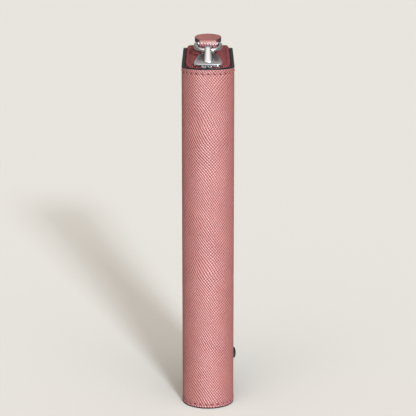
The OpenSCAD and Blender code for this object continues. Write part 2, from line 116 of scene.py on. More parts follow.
def rimLine(inset, step, foot):
    # The line (u, z) that follows the rim from the left wall's foot over the spine to the right wall's foot
    corner = case["cornerRadius"] - inset
    half = []
    for u in spaced(0, alongTo(cornerY - corner * math.sin(case["slope"])), step):
        half.append((u, rimAt(wallAt(u)[0].y, inset)))
    sweep = math.pi / 2 + case["slope"]
    for turn in spaced(0, sweep, step / corner)[1:]:
        angle = turn - case["slope"]
        half.append((alongTo(cornerY + corner * math.sin(angle)), cornerZ + corner * math.cos(angle)))
    for z in spaced(cornerZ, foot, step)[1:]:
        half.append((alongTo(farY - inset), z))
    return [(-u, z) for u, z in reversed(half[1:])] + half


def evenPoints(line, pitch, start=0.5):
    # Points and directions at an even pitch along a line of (u, z)
    found = []
    travelled = 0
    wanted = pitch * start
    for (u0, z0), (u1, z1) in zip(line, line[1:]):
        length = math.hypot(u1 - u0, z1 - z0)
        while length and wanted <= travelled + length:
            part = (wanted - travelled) / length
            found.append((u0 + (u1 - u0) * part, z0 + (z1 - z0) * part, (u1 - u0) / length, (z1 - z0) / length))
            wanted += pitch
        travelled += length
    return found


def surfaceFrame(u, along, up):
    # Directions of a step (along, up) on the wall at u: forward, sideways and outward
    out = wallAt(u)[1]
    forward = Vector((-out.y, out.x, 0)) * along + Vector((0, 0, up))
    forward.normalize()
    return forward, out.cross(forward), out


print("shader tools")

# Sockets that share a name with others of their node, by their place
mixSocket = {"factor": 0, "first": 6, "second": 7, "result": 2}
randomSocket = {"low": 2, "high": 3, "result": 1}


class Wire:
    # One socket of a node tree, so that sums of sockets read as plain sums
    def __init__(self, tree, socket=None):
        self.tree = tree
        self.socket = socket

    def node(self, kind, settings=None, values=None, output=0):
        made = self.tree.nodes.new(kind)
        for name, value in (settings or {}).items():
            setattr(made, name, value)
        for name, value in (values or {}).items():
            if isinstance(value, Wire):
                self.tree.links.new(value.socket, made.inputs[name])
            else:
                made.inputs[name].default_value = value
        return Wire(self.tree, made.outputs[output] if len(made.outputs) else None)

    def reckon(self, operation, *values):
        return self.node("ShaderNodeMath", {"operation": operation}, dict(enumerate(values)))

    def __add__(self, other):
        return self.reckon("ADD", self, other)

    def __radd__(self, other):
        return self.reckon("ADD", other, self)

    def __sub__(self, other):
        return self.reckon("SUBTRACT", self, other)

    def __rsub__(self, other):
        return self.reckon("SUBTRACT", other, self)

    def __mul__(self, other):
        return self.reckon("MULTIPLY", self, other)

    def __rmul__(self, other):
        return self.reckon("MULTIPLY", other, self)

    def __truediv__(self, other):
        return self.reckon("DIVIDE", self, other)

    def wave(self):
        # From 0 to 1 and back once for each whole number
        return self.reckon("SINE", self * math.tau) * 0.5 + 0.5

    def step(self, low, high):
        return self.node("ShaderNodeMapRange", {"interpolation_type": "SMOOTHSTEP"},
                         {"Value": self, "From Min": low, "From Max": high})

    def parts(self):
        return [self.node("ShaderNodeSeparateXYZ", None, {0: self}, i) for i in range(3)]

    def noise(self, scale, detail=2.0):
        return self.node("ShaderNodeTexNoise", None, {"Vector": self, "Scale": scale, "Detail": detail})

    def blend(self, first, second):
        # Colour between two colours by this factor
        sockets = {mixSocket["factor"]: self, mixSocket["first"]: first, mixSocket["second"]: second}
        return self.node("ShaderNodeMix", {"data_type": "RGBA"}, sockets, mixSocket["result"])


def newMaterial(name, **constants):
    # A material with one Principled shader; returns it, its shader node and a wire in its tree
    material = bpy.data.materials.new(name)
    material.use_nodes = True
    shader = material.node_tree.nodes["Principled BSDF"]
    for socket, value in constants.items():
        shader.inputs[socket.replace("_", " ")].default_value = value
    return material, shader, Wire(material.node_tree)


def feed(wire, shader, **links):
    for socket, value in links.items():
        wire.tree.links.new(value.socket, shader.inputs[socket.replace("_", " ")])


def bumped(wire, height, depth):
    # A height from 0 to 1 that is depth millimetres deep
    return wire.node("ShaderNodeBump", None, {"Height": height, "Distance": depth * mm, "Strength": 1.0})


def toned(colour, factor):
    return tuple(c * factor for c in colour[:3]) + (1,)


def unwrapped(wire):
    # The piece's own UV map, in millimetres
    flat = wire.node("ShaderNodeUVMap", {"uv_map": "cloth"})
    return flat.node("ShaderNodeVectorMath", {"operation": "SCALE"}, {0: flat, "Scale": 1 / mm})


def placed(wire, turn=(0, 0, 0)):
    # Object coordinates in millimetres, turned
    spot = wire.node("ShaderNodeTexCoord", output="Object")
    return spot.node("ShaderNodeMapping", None, {"Vector": spot, "Rotation": turn, "Scale": (1 / mm,) * 3})


leatherLook = {
    "light": (0.3408, 0.117, 0.1062, 1),
    "dark": (0.1136, 0.02582, 0.02394, 1),
    "polish": (1.0, 0.97, 0.95, 1),  # tint of the thin shine on top
    "pitch": 1.0,  # between two lines of the grain
    "falling": (0.80, 0.60),  # across and up, for the lines that fall to the right
    "rising": (0.70, -0.71),
    "ragScale": 0.6,
    "rag": 0.55,  # unevenness of a line, in pitches
    "swayScale": 0.03,
    "sway": 9,  # slow bends of the lines
    "fallingShare": 0.48,  # of the grain's height
    "wornScale": 0.2,
    "wornEnds": (0.3, 0.7),
    "worn": 0.12,  # how much more the falling lines stand out in patches
    # The grain's colour is partly its print and partly painted shade: its dark lines sit in the hollows, and
    # they follow the falling lines on the left and the rising lines on the right, the way the light from the
    # right shades the grain
    "fallingPrintShadeShare": 0.85,  # of the colour that follows the falling lines on the left, partly print and partly painted shade
    "shadeTurnToRising": 0.6,  # how much of it follows the rising lines on the right instead: painted shade of the grain as the light falls from the right
    "shadeTurnPlace": (-1, 12),
    "cloudScale": 0.07,
    "cloudEnds": (0.25, 0.75),
    "cloud": 0.12,  # share of the pale and dark clouds in the dye
    "shadeEnds": (0.1, 0.85),
    "smoother": 0.12,  # how much less rough the grain's ridges are
}
wallFinish = {"shadeTint": 1.0, "roughness": 0.55, "polish": 0.065, "depth": 0.28}


def crossGrain(spot):
    # The printed grain, two families of slanted lines that cross: its height, and where its colour is light,
    # which is partly print and partly painted shade
    look = leatherLook
    x, y, z = spot.parts()
    up = y + z  # the walls' own map has no z, and the flat pieces turn little
    rag = spot.noise(look["ragScale"]) * look["rag"]
    sway = spot.noise(look["swayScale"], 1.0) * look["sway"]
    lines = []
    for across, rise in (look["falling"], look["rising"]):
        lines.append(((x * across + up * rise + sway) / look["pitch"] + rag).wave())
    falling, rising = lines
    worn = spot.noise(look["wornScale"]).step(*look["wornEnds"]) * look["worn"]
    height = falling * (look["fallingShare"] + worn) + rising * (1 - look["fallingShare"] - worn)
    # painted shade: towards the right side the colour turns from the falling lines to the rising lines
    turn = x.step(*look["shadeTurnPlace"]) * look["shadeTurnToRising"]
    return height, falling * (look["fallingPrintShadeShare"] - turn) + rising * (1 - look["fallingPrintShadeShare"] + turn)


def makeLeather(name, spotOf, finish):
    # Dull dyed leather, with painted shade in its grain, under a thin polish that doesn't grow towards the
    # sides
    look = leatherLook
    material, shader, wire = newMaterial(name, Specular_IOR_Level=0.0)
    spot = spotOf(wire)
    # the grain's colour is partly print and partly painted shade
    grain, printAndShade = crossGrain(spot)
    cloud = spot.noise(look["cloudScale"], 3.0).step(*look["cloudEnds"])
    shade = (printAndShade * (1 - look["cloud"]) + cloud * look["cloud"]).step(*look["shadeEnds"])
    # a shade tint below 1 darkens the whole leather as painted shade
    colour = shade.blend(toned(look["dark"], finish["shadeTint"]), toned(look["light"], finish["shadeTint"]))
    rough = finish["roughness"] - grain * look["smoother"]
    normal = bumped(wire, grain, finish["depth"])
    feed(wire, shader, Base_Color=colour, Roughness=rough, Normal=normal)
    dull = Wire(wire.tree, shader.outputs[0])
    shine = wire.node("ShaderNodeBsdfPrincipled", None,
                      {"Base Color": look["polish"], "Metallic": 1.0, "Roughness": rough, "Normal": normal})
    both = wire.node("ShaderNodeMixShader", None, {0: finish["polish"], 1: dull, 2: shine})
    wire.tree.links.new(both.socket, wire.tree.nodes["Material Output"].inputs["Surface"])
    return material


paintLook = {
    "dark": (0.003, 0.0035, 0.004, 1),
    "light": (0.007, 0.008, 0.009, 1),
    "shine": 0.15,
    "mottleScale": 0.7,
    "roughness": 0.38,
    "rougher": 0.2,  # in the light parts of the mottle
    "depth": 0.08,
}
enamelLook = {
    "dark": (0.003, 0.003, 0.0035, 1),
    "light": (0.007, 0.007, 0.008, 1),
    "shine": 0.35,
    "mottleScale": 0.5,
    "roughness": 0.16,
    "rougher": 0.14,
    "depth": 0.02,
}


def makeBlack(name, look):
    # The edges' paint and the stud's enamel
    material, shader, wire = newMaterial(name, Specular_IOR_Level=look["shine"])
    mottle = placed(wire).noise(look["mottleScale"], 3.0)
    feed(wire, shader, Base_Color=mottle.blend(look["dark"], look["light"]),
         Roughness=look["roughness"] + mottle * look["rougher"], Normal=bumped(wire, mottle, look["depth"]))
    return material


tapeLook = {
    "dark": (0.020, 0.003, 0.004, 1),
    "light": (0.300, 0.066, 0.068, 1),
    "pitch": 0.9,  # of the ribs
    "mottleScale": 1.5,
    "mottleEnds": (0.3, 0.7),
    "mottle": 0.2,
    "shadeEnds": (0.05, 0.65),
    "roughness": 0.9,
    "smoother": 0.1,
    "depth": 0.2,
}


def makeTapeCloth():
    look = tapeLook
    material, shader, wire = newMaterial("tapeCloth", Specular_IOR_Level=0.15)
    spot = unwrapped(wire)
    across, along, _ = spot.parts()
    rib = ((across + along) / look["pitch"]).wave()
    yarn = ((across - along) / look["pitch"]).wave()
    mottle = spot.noise(look["mottleScale"]).step(*look["mottleEnds"])
    weave = rib * yarn * (1 - look["mottle"]) + mottle * look["mottle"]
    feed(wire, shader, Base_Color=weave.step(*look["shadeEnds"]).blend(look["dark"], look["light"]),
         Roughness=look["roughness"] - weave * look["smoother"], Normal=bumped(wire, weave, look["depth"]))
    return material


weaveLook = {"cloudScale": 0.4, "cloud": 0.3, "roughness": 0.8, "smoother": 0.1, "depth": 0.06}


def makeWeave(name, dark, light, pitch):
    # Cloth, board, or the painted shade inside needle holes, with fine threads or fibres that cross
    look = weaveLook
    material, shader, wire = newMaterial(name, IOR=1.4)
    spot = placed(wire)
    x, y, z = spot.parts()
    weave = ((x + y) / pitch).wave() * 0.5 + (z / pitch).wave() * 0.5
    cloud = spot.noise(look["cloudScale"], 3.0)
    feed(wire, shader, Base_Color=(weave * (1 - look["cloud"]) + cloud * look["cloud"]).blend(dark, light),
         Roughness=look["roughness"] - weave * look["smoother"], Normal=bumped(wire, weave, look["depth"]))
    return material


metalLook = {
    "smudgeScale": 0.35,
    "scratchScale": 6.0,
    "dull": 0.93,  # tone of the smudges
    "smudgeRough": 0.08,
    "scratchRough": 0.03,
}


def makeMetal(name, colour, roughness, scratch):
    look = metalLook
    material, shader, wire = newMaterial(name, Metallic=1.0)
    spot = placed(wire)
    smudge = spot.noise(look["smudgeScale"], 3.0)
    fine = spot.noise(look["scratchScale"])
    rough = roughness + smudge * look["smudgeRough"] + fine * look["scratchRough"]
    feed(wire, shader, Base_Color=smudge.blend(toned(colour, look["dull"]), colour),
         Roughness=rough, Normal=bumped(wire, fine, scratch))
    return material


threadLook = {
    "dark": (0.14, 0.042, 0.040, 1),
    "light": (0.34, 0.130, 0.120, 1),
    "alongPly": 0.42,  # one turn of the twist along the thread
    "aroundPly": 0.7,
    "roughness": 0.7,
    "smoother": 0.15,
    "depth": 0.06,
}


def makeThread():
    look = threadLook
    material, shader, wire = newMaterial("thread", Specular_IOR_Level=0.3)
    along, around, _ = unwrapped(wire).parts()
    ply = (along / look["alongPly"] + around / look["aroundPly"]).wave()
    feed(wire, shader, Base_Color=ply.blend(look["dark"], look["light"]),
         Roughness=look["roughness"] - ply * look["smoother"], Normal=bumped(wire, ply, look["depth"]))
    return material


wrapLeather = makeLeather("wrapLeather", unwrapped, wallFinish)
baseLeather = makeLeather("baseLeather", placed, wallFinish)
edgePaint = makeBlack("edgePaint", paintLook)
tapeCloth = makeTapeCloth()
liningCloth = makeWeave("liningCloth", dark=(0.13, 0.03, 0.035, 1), light=(0.30, 0.09, 0.095, 1), pitch=0.5)
boardFibre = makeWeave("boardFibre", dark=(0.34, 0.29, 0.22, 1), light=(0.52, 0.47, 0.38, 1), pitch=0.9)
zipMetal = makeMetal("zipMetal", colour=(0.42, 0.415, 0.41, 1), roughness=0.24, scratch=0.006)
polishedMetal = makeMetal("polishedMetal", colour=(0.31, 0.31, 0.32, 1), roughness=0.22, scratch=0.003)
plateMetal = makeMetal("plateMetal", colour=(0.35, 0.35, 0.36, 1), roughness=0.30, scratch=0.006)
thread = makeThread()
# painted shade: the dark material of the blobs at the needle holes
holeShade = makeWeave("needleHoleShade", dark=(0.03, 0.006, 0.006, 1), light=(0.07, 0.015, 0.015, 1), pitch=0.3)
blackEnamel = makeBlack("blackEnamel", enamelLook)

print("mesh tools")


def makeObject(name, mesh, *materials):
    piece = bpy.data.objects.new(name, mesh)
    bpy.context.collection.objects.link(piece)
    for material in materials:
        mesh.materials.append(material)
    return piece


def buildPiece(name, points, faces, marks, *materials, turnOut=True):
    # A smooth mesh from points in millimetres; marks gives each face's corners their place on the cloth
    mesh = bpy.data.meshes.new(name)
    mesh.from_pydata([Vector(p) * mm for p in points], [], faces)
    flat = mesh.uv_layers.new(name="cloth")
    for polygon, corners in zip(mesh.polygons, marks):
        for loop, (u, v) in zip(polygon.loop_indices, corners):
            flat.data[loop].uv = (u * mm, v * mm)
        polygon.use_smooth = True
    if turnOut:
        shape = bmesh.new()
        shape.from_mesh(mesh)
        bmesh.ops.recalc_face_normals(shape, faces=shape.faces)
        shape.to_mesh(mesh)
        shape.free()
    return makeObject(name, mesh, *materials)


def loft(name, rings, *materials):
    # A closed tube through rings of points, with its two ends capped
    size = len(rings[0])
    points = [p for ring in rings for p in ring]
    faces = []
    marks = []
    run = [0.0]
    for near, far in zip(rings, rings[1:]):
        run.append(run[-1] + (Vector(far[0]) - Vector(near[0])).length)
    girth = [0.0]
    for k in range(size):
        girth.append(girth[-1] + (Vector(rings[0][(k + 1) % size]) - Vector(rings[0][k])).length)
    for i in range(len(rings) - 1):
        for k in range(size):
            after = (k + 1) % size
            faces.append((i * size + k, i * size + after, (i + 1) * size + after, (i + 1) * size + k))
            (left, right), (low, high) = girth[k:k + 2], run[i:i + 2]
            marks.append(((left, low), (right, low), (right, high), (left, high)))
    for base, place in ((0, run[0]), ((len(rings) - 1) * size, run[-1])):
        faces.append(tuple(base + k for k in range(size)))
        marks.append(tuple((girth[k], place) for k in range(size)))
    return buildPiece(name, points, faces, marks, *materials)


def finished(piece):
    # The piece with its modifiers made real
    seen = piece.evaluated_get(bpy.context.evaluated_depsgraph_get())
    mesh = bpy.data.meshes.new_from_object(seen)
    piece.modifiers.clear()
    piece.data = mesh
    return piece


easing = {
    "merge": 0.002,  # corners closer than this are one
    "flat": math.radians(1),  # faces that meet at less than this are one
    "sharp": math.radians(32),  # edges over this are rounded
}


def roundedCopy(node, name, width, segments, *materials):
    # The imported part's own shape with its sharp edges eased
    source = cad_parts[node]
    shape = bmesh.new()
    shape.from_mesh(source.data)
    shape.transform(source.matrix_world)
    bmesh.ops.remove_doubles(shape, verts=shape.verts, dist=easing["merge"] * mm)
    bmesh.ops.dissolve_limit(shape, angle_limit=easing["flat"], verts=shape.verts, edges=shape.edges)
    mesh = bpy.data.meshes.new(name)
    shape.to_mesh(mesh)
    shape.free()
    piece = makeObject(name, mesh, *materials)
    for polygon in mesh.polygons:
        polygon.use_smooth = True
    ease = piece.modifiers.new("ease", "BEVEL")
    ease.width = width * mm
    ease.segments = segments
    ease.limit_method = "ANGLE"
    ease.angle_limit = easing["sharp"]
    ease.use_clamp_overlap = True
    ease.harden_normals = True
    return finished(piece)


def paintNode(node, material):
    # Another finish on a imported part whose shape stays
    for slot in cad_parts[node].material_slots:
        slot.material = material


print("stitch lines")

stitch = {
    "pitch": 2.9,
    "length": 1.75,
    "thread": 0.46,
    "rise": 0.10,  # of the thread's middle above the leather
    "baseRise": 0.22,
    "crest": 1.35,  # height of the stitch's handles, in rises
    "dive": 1.6,  # depth of its ends, in rises
    "handles": 0.42,  # from its middle, in lengths
    "sizes": (0.93, 1.07),
    "seed": 7,
    "slant": math.radians(11),
    "fromEdge": 2.6,
    "fromBase": 1.8,
    "fromFar": 1.6,  # where the base row ends, short of the far edges
    "foot": 4.5,  # where the row along the far edges ends above the base row
    "traceStep": 0.25,
    "pull": 0.10,  # how far the row draws the leather in
    "pullWidth": 0.9,
    "pullPoints": 5,  # places along a stitch where it pulls
    "sink": 0.06,
    "hole": (0.95, 0.34, 0.24),  # half sizes of the dark blob that paints the shade in a needle hole
    "slit": math.radians(-40),  # its turn from the row
    "holeLift": 0.05,
    "holeDepth": 0.34,  # of the leather drawn in round it
    "holeWidth": 0.55,
}
upperRow = evenPoints(rimLine(stitch["fromEdge"], stitch["traceStep"], stitch["foot"]), stitch["pitch"])
baseReach = alongTo(farY - stitch["fromFar"])
baseLine = [(u, stitch["fromBase"]) for u in spaced(-baseReach, baseReach, stitch["traceStep"])]
baseRow = evenPoints(baseLine, stitch["pitch"])
stitches = upperRow + baseRow


def finderOf(points):
    # Finds the nearest of some places on the outline
    finder = KDTree(len(points))
    for i, (u, z) in enumerate(points):
        finder.insert((u, z, 0), i)
    finder.balance()
    return finder


def alongStitches(count):
    # Places from end to end of every stitch
    shares = [k / (count - 1) - 0.5 for k in range(count)]
    reaches = [share * stitch["pitch"] for share in shares]
    return [(u + du * reach, z + dz * reach) for u, z, du, dz in stitches for reach in reaches]


holeFinder = finderOf(alongStitches(2))
rowFinder = finderOf(alongStitches(stitch["pullPoints"]))


def pucker(u, z):
    # How far the stitches draw the leather in at a place
    hole = holeFinder.find((u, z, 0))[2]
    row = rowFinder.find((u, z, 0))[2]
    deep = stitch["holeDepth"] * math.exp(-(hole / stitch["holeWidth"]) ** 2)
    return deep + stitch["pull"] * math.exp(-(row / stitch["pullWidth"]) ** 2)


print("leather wrap")

wrap = {
    "fine": 0.36,  # spacing of the mesh near the stitches
    "band": 4.4,  # depth of the finely meshed bands
    "across": 0.55,  # spacing round the outline, away from the far edges
    "middleRows": 62,
}


def wrapRows():
    # Rows up the wall: distances from the base or the rim in the fine bands, then shares of what is between
    low = [("low", d) for d in spaced(0, wrap["band"], wrap["fine"])]
    high = [("high", d) for d in spaced(wrap["band"], 0, wrap["fine"])]
    middle = [("middle", i / wrap["middleRows"]) for i in range(1, wrap["middleRows"])]
    return low + middle + high


def makeWrap():
    foot = case["paint"]
    ends = farY - case["paint"]
    inner = alongTo(ends)
    half = spaced(0, inner - wrap["band"], wrap["across"])
    half += spaced(inner - wrap["band"], inner, wrap["fine"])[1:]
    columns = [-u for u in reversed(half[1:])] + half
    rows = wrapRows()
    points = []
    marks = []
    grid = []
    for depth in (0, case["leather"]):
        sheet = []
        for u in columns:
            top = rimAt(wallAt(u)[0].y, case["paint"])
            line = []
            for kind, value in rows:
                if kind == "low":
                    z = foot + value
                elif kind == "high":
                    z = top - value
                else:
                    z = foot + wrap["band"] + (top - foot - 2 * wrap["band"]) * value
                push = pucker(u, z) if depth == 0 else 0
                place = wallAt(u, depth + push)[0]
                line.append(len(points))
                points.append((place.x, place.y, z))
                marks.append((u, z))
            sheet.append(line)
        grid.append(sheet)
    faces = []
    outer, inside = grid
    for i in range(len(columns) - 1):
        for k in range(len(rows) - 1):
            faces.append((outer[i][k], outer[i + 1][k], outer[i + 1][k + 1], outer[i][k + 1]))
            faces.append((inside[i][k], inside[i][k + 1], inside[i + 1][k + 1], inside[i + 1][k]))
        faces.append((outer[i][0], inside[i][0], inside[i + 1][0], outer[i + 1][0]))
        faces.append((outer[i][-1], outer[i + 1][-1], inside[i + 1][-1], inside[i][-1]))
    for k in range(len(rows) - 1):
        faces.append((outer[0][k], outer[0][k + 1], inside[0][k + 1], inside[0][k]))
        faces.append((outer[-1][k], inside[-1][k], inside[-1][k + 1], outer[-1][k + 1]))
    corners = [tuple(marks[v] for v in face) for face in faces]
    return buildPiece("leatherWrap", points, faces, corners, wrapLeather, turnOut=False)


leatherWrap = makeWrap()
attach(leatherWrap, "case")
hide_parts("outer_leather")

print("painted edges")

edge = {
    "swell": 0.06,  # how far the paint stands out of the wall's two faces
    "root": 0.1,  # how far it reaches down over the leather
    "lip": 0.02,
    "liftPower": 0.62,  # below 1 its top is flatter than a circle
    "reachPower": 0.8,
    "steps": 14,
    "mouthStep": 0.6,
    "baseStep": 0.8,
}


def edgeRing(u, z, outward):
    # Round cross-section of the painted edge at a place on the wall's outline
    half = case["wall"] / 2 + edge["swell"]
    point, out = wallAt(u, case["wall"] / 2)
    forward = Vector((-out.y, out.x, 0))
    grow = forward * outward[0] + Vector((0, 0, outward[1]))
    height = case["paint"] + edge["root"]
    centre = Vector((point.x, point.y, z)) - grow * height
    ring = [centre + out * half, centre - out * half]
    for i in range(edge["steps"] + 1):
        angle = math.pi * i / edge["steps"]
        lift = math.sin(angle) ** edge["liftPower"]
        reach = -math.copysign(abs(math.cos(angle)) ** edge["reachPower"], math.cos(angle))
        ring.append(centre + out * half * reach + grow * (edge["lip"] + (height - edge["lip"]) * lift))
    return ring


def makeMouthEdge():
    line = rimLine(0, edge["mouthStep"], edge["lip"])
    rings = []
    for i, (u, z) in enumerate(line):
        before = line[max(0, i - 1)]
        after = line[min(len(line) - 1, i + 1)]
        du, dz = after[0] - before[0], after[1] - before[1]
        length = math.hypot(du, dz)
        rings.append(edgeRing(u, z, (-dz / length, du / length)))
    return loft("mouthEdge", rings, edgePaint)


def makeBaseEdge():
    reach = alongTo(farY - case["paint"])
    rings = [edgeRing(u, 0, (0, -1)) for u in spaced(-reach, reach, edge["baseStep"])]
    return loft("baseEdge", rings, edgePaint)


mouthEdge = makeMouthEdge()
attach(mouthEdge, "case")
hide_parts("mouth_edge_paint")
baseEdge = makeBaseEdge()
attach(baseEdge, "case")
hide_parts("base_edge_paint")

print("stitches")


def newTree(name, **inputs):
    # A geometry tree with named inputs; returns it and a wire to each input
    tree = bpy.data.node_groups.new(name, "GeometryNodeTree")
    tree.interface.new_socket("Geometry", in_out="INPUT", socket_type="NodeSocketGeometry")
    for key, kind in inputs.items():
        tree.interface.new_socket(key, in_out="INPUT", socket_type=kind)
    tree.interface.new_socket("Geometry", in_out="OUTPUT", socket_type="NodeSocketGeometry")
    start = tree.nodes.new("NodeGroupInput")
    wires = {socket.name: Wire(tree, socket) for socket in start.outputs if socket.name}
    return tree, wires


def setOnPoints(wires, shape, **more):
    # Sets the shape on every point, turned as the point says, and ends the tree with one coated mesh
    turn = shape.node("GeometryNodeInputNamedAttribute", {"data_type": "FLOAT_VECTOR"}, {"Name": "turn"})
    facing = turn.node("FunctionNodeEulerToRotation", None, {0: turn})
    inputs = {"Points": wires["Geometry"], "Instance": shape, "Rotation": facing, **more}
    many = shape.node("GeometryNodeInstanceOnPoints", None, inputs)
    real = many.node("GeometryNodeRealizeInstances", None, {0: many})
    coated = real.node("GeometryNodeSetMaterial", None, {"Geometry": real, "Material": wires["Finish"]})
    coated.node("NodeGroupOutput", None, {0: coated})


def grown(piece, tree, **settings):
    # Runs a tree on a piece with its inputs set, and keeps the plain mesh
    modifier = piece.modifiers.new("grow", "NODES")
    modifier.node_group = tree
    for item in tree.interface.items_tree:
        if item.in_out == "INPUT" and item.name in settings:
            modifier[item.identifier] = settings[item.name]
    return finished(piece)


def pointPiece(name, places):
    # Loose points with a turn each, for a tree to build on
    mesh = bpy.data.meshes.new(name)
    mesh.from_pydata([spot * mm for spot, turn in places], [], [])
    turns = mesh.attributes.new("turn", "FLOAT_VECTOR", "POINT")
    for i, (spot, turn) in enumerate(places):
        turns.data[i].vector = turn
    return makeObject(name, mesh)


def turnOf(forward, side, out):
    return Vector(Matrix((forward, side, out)).transposed().to_euler())


def stitchTree():
    # A twisted thread that dives into the leather at both ends, on every point
    tree, wires = newTree("stitchRow", Length="NodeSocketFloat", Thread="NodeSocketFloat",
                          Rise="NodeSocketFloat", Seed="NodeSocketInt", Finish="NodeSocketMaterial")
    length, rise = wires["Length"], wires["Rise"]
    crest, dive, side = stitch["crest"], stitch["dive"], stitch["handles"]
    corners = []
    for share, lift in ((-0.5, -dive), (-side, crest), (side, crest), (0.5, -dive)):
        corners.append(length.node("ShaderNodeCombineXYZ", None, {"X": length * share, "Z": rise * lift}))
    start, left, right, end = corners
    path = length.node("GeometryNodeCurvePrimitiveBezierSegment", None,
                       {"Resolution": 9, "Start": start, "Start Handle": left, "End Handle": right, "End": end})
    run = path.node("GeometryNodeSplineParameter", output="Length")
    path = path.node("GeometryNodeStoreNamedAttribute", {"data_type": "FLOAT", "domain": "POINT"},
                     {"Geometry": path, "Name": "run", "Value": run})
    radius = wires["Thread"] * 0.5
    section = path.node("GeometryNodeCurvePrimitiveCircle", None, {"Resolution": 8, "Radius": radius})
    ring = section.node("GeometryNodeSplineParameter", output="Length")
    section = section.node("GeometryNodeStoreNamedAttribute", {"data_type": "FLOAT", "domain": "POINT"},
                           {"Geometry": section, "Name": "ring", "Value": ring})
    rope = path.node("GeometryNodeCurveToMesh", None,
                     {"Curve": path, "Profile Curve": section, "Fill Caps": True})
    least, most = stitch["sizes"]
    sizes = {randomSocket["low"]: least, randomSocket["high"]: most, "Seed": wires["Seed"]}
    size = rope.node("FunctionNodeRandomValue", {"data_type": "FLOAT"}, sizes, randomSocket["result"])
    setOnPoints(wires, rope, Scale=size)
    return tree


def makeStitches(name, row, rise):
    places = []
    for u, z, du, dz in row:
        forward, side, out = surfaceFrame(u, du, dz)
        slanted = forward * math.cos(stitch["slant"]) + side * math.sin(stitch["slant"])
        point = wallAt(u, stitch["sink"])[0]
        spot = Vector((point.x, point.y, z))
        places.append((spot, turnOf(slanted, out.cross(slanted), out)))
    threads = grown(pointPiece(name, places), stitchTree(), Length=stitch["length"] * mm,
                    Thread=stitch["thread"] * mm, Rise=rise * mm, Seed=stitch["seed"], Finish=thread)
    flat = threads.data.uv_layers.new(name="cloth")
    run = threads.data.attributes["run"].data
    ring = threads.data.attributes["ring"].data
    for loop in threads.data.loops:
        flat.data[loop.index].uv = (run[loop.vertex_index].value, ring[loop.vertex_index].value)
    for polygon in threads.data.polygons:
        polygon.use_smooth = True
    return threads


# Dark blobs on every point, the painted shade of the needle holes
def needleHoleShadeTree():
    tree, wires = newTree("needleHoleShade", Finish="NodeSocketMaterial")
    ball = wires["Geometry"].node("GeometryNodeMeshUVSphere", None, {"Segments": 10, "Rings": 6, "Radius": mm})
    setOnPoints(wires, ball, Scale=stitch["hole"])
    return tree


def makeHoleShades(name, row):
    # Painted shade: dark slits where the thread goes through the leather
    places = []
    for u, z, du, dz in row:
        forward, side, out = surfaceFrame(u, du, dz)
        slit = forward * math.cos(stitch["slit"]) + side * math.sin(stitch["slit"])
        for end in (-0.5, 0.5):
            uh, zh = u + du * end * stitch["pitch"], z + dz * end * stitch["pitch"]
            point = wallAt(uh, pucker(uh, zh) - stitch["holeLift"])[0]
            places.append((Vector((point.x, point.y, zh)), turnOf(slit, out.cross(slit), out)))
    slits = grown(pointPiece(name, places), needleHoleShadeTree(), Finish=holeShade)
    for polygon in slits.data.polygons:
        polygon.use_smooth = True
    return slits


for name, row, rise in (("mouth", upperRow, stitch["rise"]), ("base", baseRow, stitch["baseRise"])):
    for piece in (makeStitches(name + "Stitches", row, rise), makeHoleShades(name + "Holes", row)):
        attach(piece, "case")

print("zip tapes")

zipShape = {
    "tilt": math.radians(12),  # of its top stretch
    "drop": 0.1,  # of the tapes' outer face below the rim, at the spine
    "proud": 1.2,  # how far its side stretch stands past the walls' far edges
    "radius": 9,  # of its bend round the far corner
    "tape": 0.6,
    "shoulder": 1.4,
    "shoulderShare": 0.4,  # the most of the room that a shoulder takes
    "insideBend": 0.05,  # the least radius inside a shoulder
    "leg": 8,
    "wallGap": 0.03,
    "webLeast": 0.2,
    "leastRoom": 0.01,  # keeps a root from being taken of less than nothing
    "bead": 1.0,
    "beadIn": 1.0,  # from the middle to the bead's inner side
    "beadArc": (150, 40),  # degrees, from its inner side to the web
    "beadSteps": 6,
    "webSteps": 12,
    "shoulderSteps": 6,
    "sliderRest": 1.2,
    "open": 2.25,  # how far the slider spreads each row
    "openLength": 2.8,
    "closeLength": 6.7,
    "foot": 6,
    "mouthRings": (0.35, 0.6, 0.9, 1.3, 1.8, 2.4, 3.2, 4, 5, 6, 7, 8, 9, 10),  # where the tapes spread
    "topStart": 10.5,
    "topStep": 0.8,
    "bendStep": 0.5,
    "sideStep": 3.0,
}
zipY = frontY + case["wall"]
zipZ = case["height"] - zipShape["drop"] - zipShape["tape"] / 2
zipFarY = farY + zipShape["proud"] - zipShape["tape"] / 2
zipCut = zipShape["radius"] / math.tan((math.pi / 2 - zipShape["tilt"]) / 2)
zipTop = (zipFarY - zipY) / math.cos(zipShape["tilt"]) - zipCut
zipArc = zipShape["radius"] * (math.pi / 2 + zipShape["tilt"])
zipBendY = zipFarY - zipShape["radius"]
zipBendZ = zipZ + math.tan(zipShape["tilt"]) * (zipFarY - zipY) - zipCut
zipSide = zipBendZ - zipShape["foot"]
zipLength = zipTop + zipArc + zipSide


def zipAt(t):
    # Middle of the zip at a distance along it, with the directions along it and out of it
    if t <= zipTop:
        angle = zipShape["tilt"]
        spot = Vector((0, zipY + t * math.cos(angle), zipZ + t * math.sin(angle)))
    elif t < zipTop + zipArc:
        angle = zipShape["tilt"] - (t - zipTop) / zipShape["radius"]
        centre = Vector((0, zipBendY, zipBendZ))
        spot = centre + Vector((0, -math.sin(angle), math.cos(angle))) * zipShape["radius"]
    else:
        angle = -math.pi / 2
        spot = Vector((0, zipFarY, zipBendZ - (t - zipTop - zipArc)))
    along = Vector((0, math.cos(angle), math.sin(angle)))
    out = Vector((0, -math.sin(angle), math.cos(angle)))
    return spot, along, out


